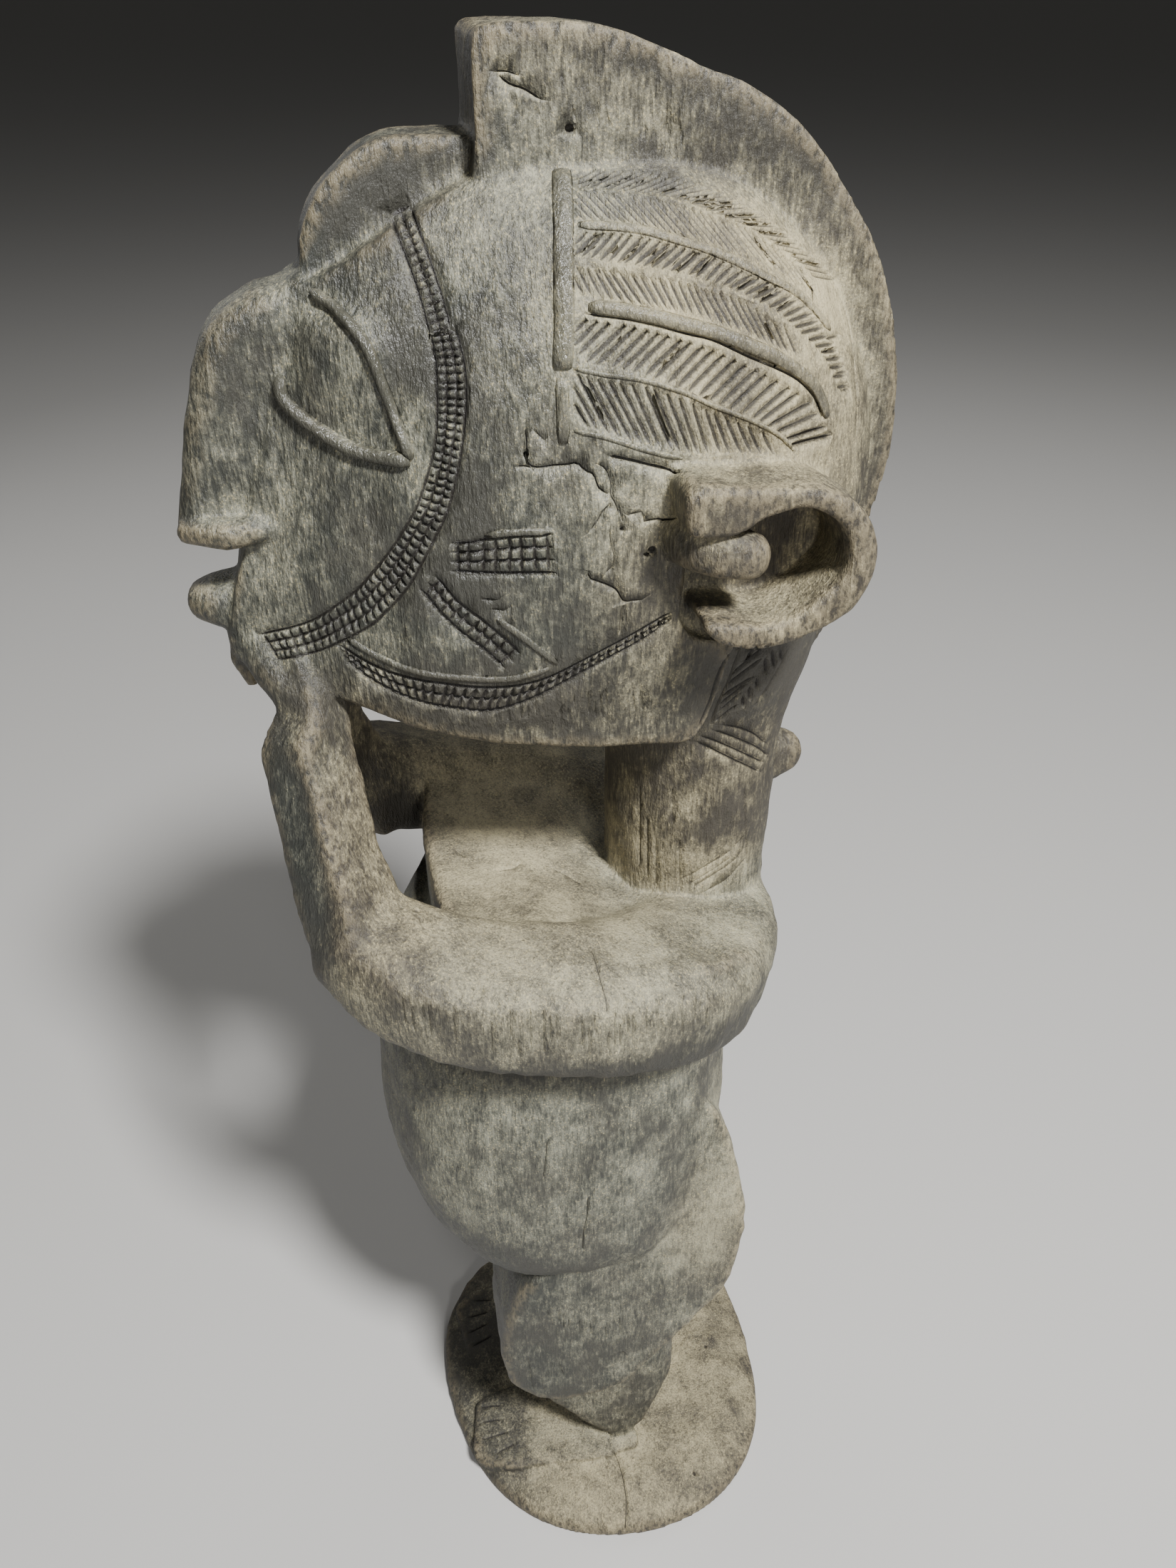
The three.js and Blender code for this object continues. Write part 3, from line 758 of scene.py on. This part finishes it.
# The plait below the ear runs down to the neck between plain borders, in slanting cuts that meet in its
# middle. Four lines close it at the foot, and fine scratches cross the neck below.
PLAIT_LEFT = [
    (1062, 906, 1046, 926), (1074, 906, 1027, 946), (1069, 924, 1021, 960), (1058, 949, 1014, 976),
    (1047, 960, 1010, 988), (1040, 972, 1006, 1001), (1034, 989, 1003, 1013),
]
PLAIT_RIGHT = [
    (1096, 908, 1098, 928), (1084, 910, 1087, 936), (1074, 922, 1076, 947), (1062, 950, 1064, 970),
    (1052, 963, 1053, 985), (1043, 976, 1043, 995),
]
PLAIT_BORDERS = [
    ([(1030, 908), (1015, 932), (1005, 957), (1000, 975), (990, 1000), (980, 1022)], 3.0, 1.8),
    ([(1040, 908), (1031, 930), (1020, 960), (1008, 985), (996, 1016)], 1.6, 1.1),
    ([(1105, 910), (1096, 932), (1085, 951), (1070, 975), (1057, 992)], 1.8, 1.1),
]
NECK_LINES = [
    ([(1014, 1017), (1040, 1023), (1060, 1031), (1074, 1043)], 2.4, 1.6),
    ([(1002, 1025), (1030, 1035), (1063, 1049), (1078, 1060)], 2.4, 1.6),
    ([(984, 1033), (1020, 1047), (1071, 1070)], 2.4, 1.6),
    ([(978, 1041), (1010, 1057), (1066, 1083)], 2.4, 1.6),
    ([(950, 1237), (1010, 1204), (1026, 1192), (1043, 1173)], 0.9, 0.7),
    ([(970, 1239), (1007, 1216), (1023, 1204)], 0.9, 0.7),
    ([(975, 1243), (1031, 1207), (1050, 1173)], 0.9, 0.7),
    ([(986, 1252), (1018, 1235), (1046, 1204)], 0.9, 0.7),
]
plait_cuts, plait_lines = Tooling(), Tooling()
for strokes, width, depth, taper in ((PLAIT_LEFT, 2.4, 2.2, 0.4), (PLAIT_RIGHT, 3.2, 2.4, 0.3)):
    for x0, y0, x1, y1 in strokes:
        plait_cuts.lay_both(even(sighted([(x0, y0), (x1, y1)], 5), 3), groove(width, depth), taper)
for line, width, depth in PLAIT_BORDERS + NECK_LINES:
    plait_lines.lay_both(even(sighted(line, 4), 4), groove(width, depth), 0.4)

# The toes are short cuts in the front of each foot, made from above. Each row is the x, y of the tip and
# of the inner end.
TOE_CUTS = [(26, -108, 31, -90), (39, -111, 42, -92), (53, -109, 53, -90), (67, -102, 63, -85)]
for tip_x, tip_y, end_x, end_y in TOE_CUTS:
    path = [
        skin_tree.ray_cast(Vector((x * MM, y * MM, 60 * MM)), Vector((0, 0, -1)))[0]
        for x, y in smooth_rows([(tip_x, tip_y), (end_x, end_y)], 8)
    ]
    plait_cuts.lay_both(even(np.array(path), 4), groove(2.4, 2.0), 0.4)

# Adze and scraper left ragged strokes across the grain, on arm, knee, neck, jaw and crest. Each patch has
# its samples and the pitch, width and depth of its strokes, and a stroke keeps a random part of its length.
SCRAPES = [
    ([(560, 1395, 566, 1440), (700, 1412, 702, 1480), (850, 1418, 850, 1482), (1000, 1385, 996, 1440)], 9,
      1.5, 0.9),
    ([(600, 1370, 590, 1400), (760, 1392, 756, 1425), (900, 1392, 896, 1420)], 12, 1.4, 0.8),
    ([(765, 1838, 767, 1864), (880, 1850, 882, 1882)], 7, 1.3, 0.9),
    ([(735, 1900, 742, 1950), (800, 1915, 812, 1940), (860, 1905, 872, 1930)], 14, 1.6, 0.9),
    ([(870, 1090, 868, 1235), (960, 1110, 962, 1250), (1050, 1110, 1055, 1240)], 11, 1.3, 0.8),
    ([(690, 985, 690, 1012), (800, 975, 800, 1008), (900, 955, 905, 1000)], 9, 1.2, 0.8),
    ([(690, 130, 700, 160), (800, 140, 806, 175), (960, 170, 962, 205)], 16, 1.2, 0.8),
]
scrapes = Tooling()
for samples, pitch, width, depth in SCRAPES:
    for stroke in rungs(samples, pitch):
        start, end = np.sort(rng.uniform(0, 1, 2))
        if end - start > 0.25:
            line = smooth_rows([np.array(stroke[0]), np.array(stroke[1])], 8)
            line = line[int(start * 8):int(end * 8) + 2]
            scrapes.lay_both(even(sighted(line, 1), 3), groove(width, depth), 0.3)

# All these cuts are now taken out of the wood. They go in rounds, kind by kind, so that cuts that cross are
# made one after the other.
for tooling in (band_lines, band_rungs, *hair_cuts, hair_lines, plait_lines, plait_cuts, scrapes):
    tooling.work("DIFFERENCE")

# Age has opened the wood in drying cracks by the ear and in crest, chest, arm, belly and plinth, and worms
# left holes. Each crack has its line, width and depth, and the hidden sides have a few of their own.
CRACKS = [
    ([(737, 603), (739, 625), (738, 645), (750, 656), (775, 653), (795, 652), (810, 650), (820, 660),
      (832, 665), (836, 674), (840, 685), (852, 693)], 1.2, 2.6),
    ([(722, 655), (736, 654), (748, 657)], 1.0, 1.6),
    ([(748, 603), (756, 610), (764, 618)], 0.9, 1.2),
    ([(840, 652), (850, 658), (855, 670), (858, 682), (857, 695), (864, 707), (870, 724)], 1.0, 1.8),
    ([(856, 707), (845, 720), (838, 732), (826, 748)], 1.1, 1.8),
    ([(855, 745), (858, 765), (862, 780), (860, 795), (850, 803)], 0.9, 1.4),
    ([(826, 801), (827, 811), (836, 815), (850, 820), (865, 828), (875, 844), (885, 843), (900, 842)],
      1.2, 2.2),
    ([(873, 850), (871, 870), (869, 890)], 0.9, 1.4),
    ([(903, 732), (920, 729), (949, 727)], 1.4, 3.0),
    ([(855, 640), (880, 645), (905, 651), (930, 657), (953, 663)], 2.0, 3.6),
    ([(880, 723), (900, 718)], 1.0, 1.6),
    ([(675, 841), (698, 842)], 1.3, 1.4),
    ([(690, 855), (707, 857)], 1.3, 1.4),
    ([(700, 106), (716, 118), (735, 124), (760, 140)], 1.3, 2.6),
    ([(690, 100), (712, 100), (728, 106)], 0.9, 1.6),
    ([(860, 2035), (868, 2050), (875, 2080), (879, 2110), (877, 2148)], 1.4, 3.4),
    ([(825, 1680), (824, 1705), (819, 1730), (818, 1755)], 1.0, 2.4),
    ([(768, 1600), (766, 1625), (762, 1655)], 0.8, 1.6),
    ([(830, 1330), (836, 1350), (843, 1376), (850, 1400), (853, 1424)], 1.0, 2.0),
    ([(640, 1193), (652, 1203)], 1.2, 1.8),
    ([(712, 1220), (722, 1217), (732, 1210)], 1.2, 2.0),
    ([(770, 1216), (795, 1228), (815, 1240)], 0.9, 1.6),
]
HIDDEN_CRACKS = [
    [(-20, 80, 470), (-18, 78, 420), (-22, 78, 372)],
    [(-70, -60, 430), (-74, -56, 400), (-72, -50, 362)],
    [(-100, 60, 20), (-70, 40, 24), (-46, 26, 30)],
    [(6, 130, 880), (4, 134, 840), (6, 133, 806)],
    [(-60, 62, 720), (-56, 70, 705), (-50, 82, 690)],
]
WORM_HOLES = [
    ((915, 773), 2.2, 3), ((907, 779), 1.4, 3), ((873, 743), 1.2, 3), ((800, 180), 2.4, 4),
    ((585, 1277), 1.8, 3), ((990, 1888), 1.6, 4), ((975, 2067), 2.0, 4), ((1007, 1826), 1.0, 3),
    ((738, 638), 1.4, 4),
]
cracks = Tooling()
for line, width, depth in CRACKS:
    cracks.lay(even(sighted(line, 3), 2.2), groove(width, depth), 0.25)
for line in HIDDEN_CRACKS:
    cracks.lay(even(smooth_rows(line) * MM, 3.5), groove(1.1, 2.6), 0.25)
for pixel, radius, depth in WORM_HOLES:
    mouth, out, _, _ = skin_tree.ray_cast(CAMERA_PLACE, sight(pixel))
    cracks.drill(mouth, out, radius, depth)
cracks.work("DIFFERENCE")

# The finish. Handling and oil left a dark, rubbed skin on the head, and dust and wear made the rest pale.
# Some zones add painted shade to that darkness, where shadow falls on the arms, belly, ears and plinth.
# Every point of the wood knows how deep it is cut, how proud and hollow it is, and how dark and polished.
mesh = figure.data
for polygon in mesh.polygons:
    polygon.use_smooth = True
points = np.empty(len(mesh.vertices) * 3)
mesh.vertices.foreach_get("co", points)
points = points.reshape(-1, 3)


def on_points(name, values):
    """Keeps one number for each point of the mesh, for the material to read."""
    kept = mesh.attributes.new(name, "FLOAT", "POINT")
    kept.data.foreach_set("value", np.ascontiguousarray(values, np.float32))


below_skin = []
for point in points:
    on_skin, out, _, _ = skin_tree.find_nearest(Vector(point))
    below_skin.append(-(Vector(point) - on_skin).dot(out) / MM)
below_skin = np.array(below_skin)
on_points("cut", np.clip(below_skin / 2, 0, 1))
on_points("proud", np.clip(-below_skin / 1.4, 0, 1))


def blurred(grid, reach):
    """The grid averaged three times over so many millimetres each way."""
    cells = max(int(round(reach / GRID_STEP)), 1)
    for axis in range(3):
        for _ in range(3):
            pad = [(cells + 1, cells) if k == axis else (0, 0) for k in range(3)]
            total = np.cumsum(np.pad(grid, pad, "edge"), axis=axis, dtype=np.float64)
            count = grid.shape[axis]
            ends = np.take(total, np.arange(2 * cells + 1, 2 * cells + 1 + count), axis)
            starts = np.take(total, np.arange(count), axis)
            grid = ((ends - starts) / (2 * cells + 1)).astype(np.float32)
    return grid


wood_share = np.clip(0.5 - block / (2 * GRID_STEP), 0, 1)
hollow_grid = 2 * blurred(wood_share, 5) - 1
cell = np.clip(((points / MM - grid_corner) / GRID_STEP), 0, np.array(grid_size) - 1.001)
corner_cell = cell.astype(int)
part_cell = cell - corner_cell
hollow_here = np.zeros(len(points))
for corner in np.ndindex(2, 2, 2):
    weight = np.prod(np.where(corner, part_cell, 1 - part_cell), axis=1)
    hollow_here += weight * hollow_grid[tuple((corner_cell + corner).T)]
on_points("hollow", hollow_here)

# Each zone of the wood is a soft blob, with its middle and reach in x, y, z, and then how dark, how warm
# and how polished it is. The zones run into each other, and both sides of the figure share them. Zones
# named for painted shade are darkened where shadow falls, over the wood's own tone.
ZONES = {
    "cheek and brow": ((60, -80, 815), (60, 75, 85), 0.84, 0.15, 0.7),
    "face and nose": ((10, -160, 810), (40, 50, 70), 0.82, 0.15, 0.6),
    "temple": ((74, -30, 850), (20, 40, 60), 0.42, 0.25, 1.0),
    "broken cheek": ((72, 5, 780), (20, 32, 40), 0.78, 0.60, 0.3),
    "jaw": ((50, -40, 705), (60, 110, 28), 0.90, 0.50, 0.3),
    "crown": ((25, -50, 925), (35, 60, 30), 0.68, 0.25, 0.5),
    "tall crest": ((8, 40, 960), (24, 100, 60), 0.86, 0.50, 0.4),
    "crest at the nape": ((8, 125, 830), (24, 30, 90), 0.74, 0.60, 0.4),
    "brow crest": ((8, -112, 930), (24, 40, 30), 1.10, 0.15, 0.5),
    "hair": ((58, 40, 880), (30, 70, 48), 0.36, 0.80, 0.3),
    "ears": ((96, 45, 790), (26, 50, 44), 0.72, 0.70, 0.3),
    # painted shade: the hollow inside each ear shell is painted dark where shadow falls
    "inside of the ears, in painted shade": ((66, 48, 788), (14, 24, 22), 1.05, 0.90, 0.1),
    "neck": ((0, 50, 640), (60, 60, 50), 0.82, 0.70, 0.2),
    "chest top": ((50, -40, 588), (60, 90, 16), 0.40, 0.70, 0.1),
    # painted shade: the head's shadow on the arms beside the chest is painted dark, over a warm red-brown
    "inside of the arms, in painted shade": ((64, -96, 566), (26, 44, 24), 1.05, 0.70, 0.1),
    # painted shadow: the arm ring's shadow on the belly is painted dark here
    "painted shadow under the arms": ((100, -60, 500), (30, 100, 12), 1.15, 0.50, 0.1),
    "arms": ((105, -40, 562), (40, 110, 30), 0.52, 0.40, 0.4),
    # painted shade: the lower half of the arm ring, turned away from the light, is painted dark
    "arms, low, in painted shade": ((126, -50, 524), (30, 110, 18), 1.02, 0.35, 0.3),
    # painted shade: the forearms' fronts, turned away from the key lamp, are painted dark over their grey
    # wood
    "front of the forearms, in painted shade": ((62, -184, 640), (44, 18, 70), 1.04, 0.10, 0.4),
    "back of the forearms": ((78, -132, 640), (34, 18, 70), 0.78, 0.75, 0.2),
    "belly": ((50, -70, 400), (90, 100, 110), 0.60, 0.10, 0.4),
    # painted shade: the underside of the belly, where it draws in over the thighs, is painted dark
    "belly, low, in painted shade": ((60, -100, 300), (70, 54, 50), 1.05, 0.05, 0.4),
    "back": ((0, 90, 430), (110, 50, 120), 0.58, 0.30, 0.3),
    "legs": ((52, 0, 230), (60, 70, 70), 0.66, 0.15, 0.4),
    "knees": ((60, -62, 180), (50, 36, 60), 0.84, 0.10, 0.4),
    "buttocks": ((60, 60, 300), (50, 40, 70), 0.20, 0.45, 0.3),
    "shins": ((52, -10, 80), (50, 60, 40), 0.72, 0.30, 0.3),
    "plinth": ((0, 0, 8), (170, 120, 16), 0.62, 0.75, 0.1),
    # painted shadow: the figure's shadow on the front of the plinth is painted dark
    "front of the plinth, in painted shadow": ((0, -125, 12), (130, 50, 22), 1.05, 0.40, 0.1),
}
mirrored = np.abs(points / MM * (1, 0, 0)) + points / MM * (0, 1, 1)
weights = np.stack([
    np.exp(-2 * np.sum(((mirrored - middle) / reach) ** 2, axis=1))
    for middle, reach, _, _, _ in ZONES.values()
]) + 1e-9
weights /= weights.sum(axis=0)
for number, name in ((2, "dark"), (3, "warm"), (4, "polish")):
    on_points(name, sum(weight * zone[number] for weight, zone in zip(weights, ZONES.values())))

wood = bpy.data.materials.new("aged_wood")
wood.use_nodes = True
wood_shader = wood.node_tree.nodes["Principled BSDF"]


class Shade:
    """A value on its way to the shader of the wood. A sum on it adds its Math node."""

    def __init__(self, socket):
        self.socket = socket

    @staticmethod
    def node(kind, settings, values, output=0):
        """Adds a node of any other type, with its settings and then the values or links of its sockets."""
        made = wood.node_tree.nodes.new(kind)
        for name, value in settings.items():
            setattr(made, name, value)
        for name, value in values.items():
            if isinstance(value, Shade):
                wood.node_tree.links.new(value.socket, made.inputs[name])
            else:
                made.inputs[name].default_value = value
        return Shade(made.outputs[output])

    @staticmethod
    def sum(operation, *values):
        return Shade.node("ShaderNodeMath", {"operation": operation}, dict(enumerate(values)))

    def __add__(self, other):
        return Shade.sum("ADD", self, other)

    def __sub__(self, other):
        return Shade.sum("SUBTRACT", self, other)

    def __rsub__(self, other):
        return Shade.sum("SUBTRACT", other, self)

    def __mul__(self, other):
        return Shade.sum("MULTIPLY", self, other)

    __radd__ = __add__
    __rmul__ = __mul__

    def to(self, low, high):
        """Runs softly from 0 at the low value to 1 at the high one."""
        ends = {"Value": self, "From Min": low, "From Max": high}
        return Shade.node("ShaderNodeMapRange", {"interpolation_type": "SMOOTHSTEP"}, ends)


def read(name):
    return Shade.node("ShaderNodeAttribute", {"attribute_name": name}, {}, "Fac")


def blend(share, first, second):
    """One colour mixed into another."""
    return Shade.node("ShaderNodeMix", {"data_type": "RGBA"}, {0: share, 6: first, 7: second}, 2)


def stretched(x, y, z):
    """Places in millimetres, scaled each way."""
    return Shade.node("ShaderNodeVectorMath", {"operation": "MULTIPLY"}, {0: wood_place, 1: (x, y, z)})


def noise(places, scale, detail, roughness):
    values = {"Vector": places, "Scale": scale, "Detail": detail, "Roughness": roughness}
    return Shade.node("ShaderNodeTexNoise", {}, values, "Fac")


def colour(red, green, blue):
    """A colour given in the usual 0 to 255 steps."""
    return tuple(((step / 255 + 0.055) / 1.055) ** 2.4 for step in (red, green, blue)) + (1.0,)


object_place = Shade.node("ShaderNodeTexCoord", {}, {}, "Object")
wood_place = Shade.node("ShaderNodeVectorMath", {"operation": "SCALE"}, {0: object_place, "Scale": 1 / MM})
cut, proud, hollow = read("cut"), read("proud"), read("hollow")
dark, warm, polish = read("dark"), read("warm"), read("polish")

faces = Shade.node("ShaderNodeNewGeometry", {}, {}, "Normal")
upward = Shade.node("ShaderNodeSeparateXYZ", {}, {"Vector": faces}, "Z")
broad = noise(stretched(1, 1, 0.8), 0.022, 2, 0.62)
patches = noise(stretched(1, 1, 0.7), 0.07, 5, 0.68)
mottle = noise(stretched(1, 1, 0.55), 0.3, 4, 0.7)
specks = noise(wood_place, 0.9, 1, 0.7)
fibres = noise(stretched(1, 1, 0.14), 0.7, 2, 0.7)

# Dust lies where the wood isn't darkened, by handling and by painted shade: on what faces up, in hollows,
# and in patches along the grain. The mask also paints tops paler and undersides darker, partly as settled
# dust and partly as painted light and shade. Under it the wood is stained, specked, worn at its edges, and
# its cuts are darkened with dirt and painted shade.
dust_and_shade = 0.75 * (1 - dark) + 0.16 * upward + 0.4 * hollow + 0.9 * (patches - 0.5) + 0.8 * (broad - 0.5)
dust_and_shade = dust_and_shade + 0.8 * (mottle - 0.5) + 0.7 * (fibres - 0.5)
dust_and_shade = dust_and_shade.to(-0.05, 0.95)
COOL_DARK, WARM_DARK = colour(43, 46, 42), colour(55, 48, 38)
COOL_DUST, WARM_DUST = colour(146, 147, 131), colour(172, 159, 123)
STAIN, PALE_SPECK, DARK_SPECK = colour(70, 66, 58), colour(192, 178, 134), colour(38, 35, 30)
WORN_EDGE, RUBBED_RIDGE, CUT_DIRT_AND_SHADE = colour(184, 168, 132), colour(84, 82, 72), colour(24, 20, 17)
edge_wear = (0 - hollow).to(0.08, 0.4) * mottle.to(0.35, 0.6) * (1 - proud)
skin_colour = blend(dust_and_shade, blend(warm, COOL_DARK, WARM_DARK), blend(warm, COOL_DUST, WARM_DUST))
skin_colour = blend(0.3 * broad.to(0.56, 0.38), skin_colour, STAIN)
skin_colour = blend(0.4 * specks.to(0.58, 0.66) * dust_and_shade.to(0, 0.5), skin_colour, PALE_SPECK)
skin_colour = blend(0.4 * specks.to(0.4, 0.32), skin_colour, DARK_SPECK)
skin_colour = blend(0.25 * edge_wear, skin_colour, WORN_EDGE)
skin_colour = blend(0.5 * proud, skin_colour, RUBBED_RIDGE)
# dirt and painted shade: every cut and crack is darkened towards its floor
skin_colour = blend(0.88 * cut.to(0.12, 0.7), skin_colour, CUT_DIRT_AND_SHADE)

shine = polish * (1 - 0.7 * dust_and_shade) + 0.5 * proud
roughness = 0.74 - 0.5 * shine + 0.25 * (mottle - 0.5)
relief = 0.4 * fibres + 0.8 * mottle
bump = Shade.node("ShaderNodeBump", {}, {"Strength": 0.9, "Distance": 0.002, "Height": relief})
for name, value in (("Base Color", skin_colour), ("Roughness", roughness), ("Normal", bump)):
    wood.node_tree.links.new(value.socket, wood_shader.inputs[name])
mesh.materials.clear()
mesh.materials.append(wood)
mesh.polygons.foreach_set("material_index", np.zeros(len(mesh.polygons), np.int32))
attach(figure, "root")
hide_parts("nimba_figure")

# The setting is a plain pale floor and soft studio light. The key lamp hangs high on the figure's left,
# and weaker lamps open the shadows at the front, the back and the far side.
FLOOR_COLOUR = (0.5, 0.49, 0.47, 1)
FLOOR_SIZE = 200
bpy.ops.mesh.primitive_plane_add(size=FLOOR_SIZE, location=(0, 0, 0))
floor = bpy.context.object
floor.name = "floor"
floor_paint = bpy.data.materials.new("pale_floor")
floor_paint.use_nodes = True
floor_shader = floor_paint.node_tree.nodes["Principled BSDF"]
floor_shader.inputs["Base Color"].default_value = FLOOR_COLOUR
floor_shader.inputs["Roughness"].default_value = 0.9
floor.data.materials.append(floor_paint)


def soft_light(name, place, target, size, power):
    """A round lamp of so many metres across and so many watts."""
    data = bpy.data.lights.new(name, "AREA")
    data.shape = "DISK"
    data.size = size
    data.energy = power
    light = bpy.data.objects.new(name, data)
    light.location = place
    light.rotation_euler = (Vector(target) - Vector(place)).to_track_quat("-Z", "Y").to_euler()
    bpy.context.scene.collection.objects.link(light)


soft_light("key", (1.5, 0.55, 2.7), (0, 0, 0.6), 0.4, 176)
soft_light("front", (1.3, 0.05, 0.98), (0, 0, 0.8), 0.22, 5)
soft_light("fill", (0.7, -1.9, 1.3), (0, 0, 0.5), 1.4, 1)
soft_light("back", (-1.5, 1.4, 2.2), (0, 0, 0.6), 1.4, 11)
soft_light("far side", (-1.7, -1.3, 1.6), (0, 0, 0.6), 1.6, 9)
world = bpy.data.worlds.new("room")
world.use_nodes = True
room_light = world.node_tree.nodes["Background"]
room_light.inputs["Color"].default_value = (0.8, 0.8, 0.78, 1)
room_light.inputs["Strength"].default_value = 0.06
bpy.context.scene.world = world
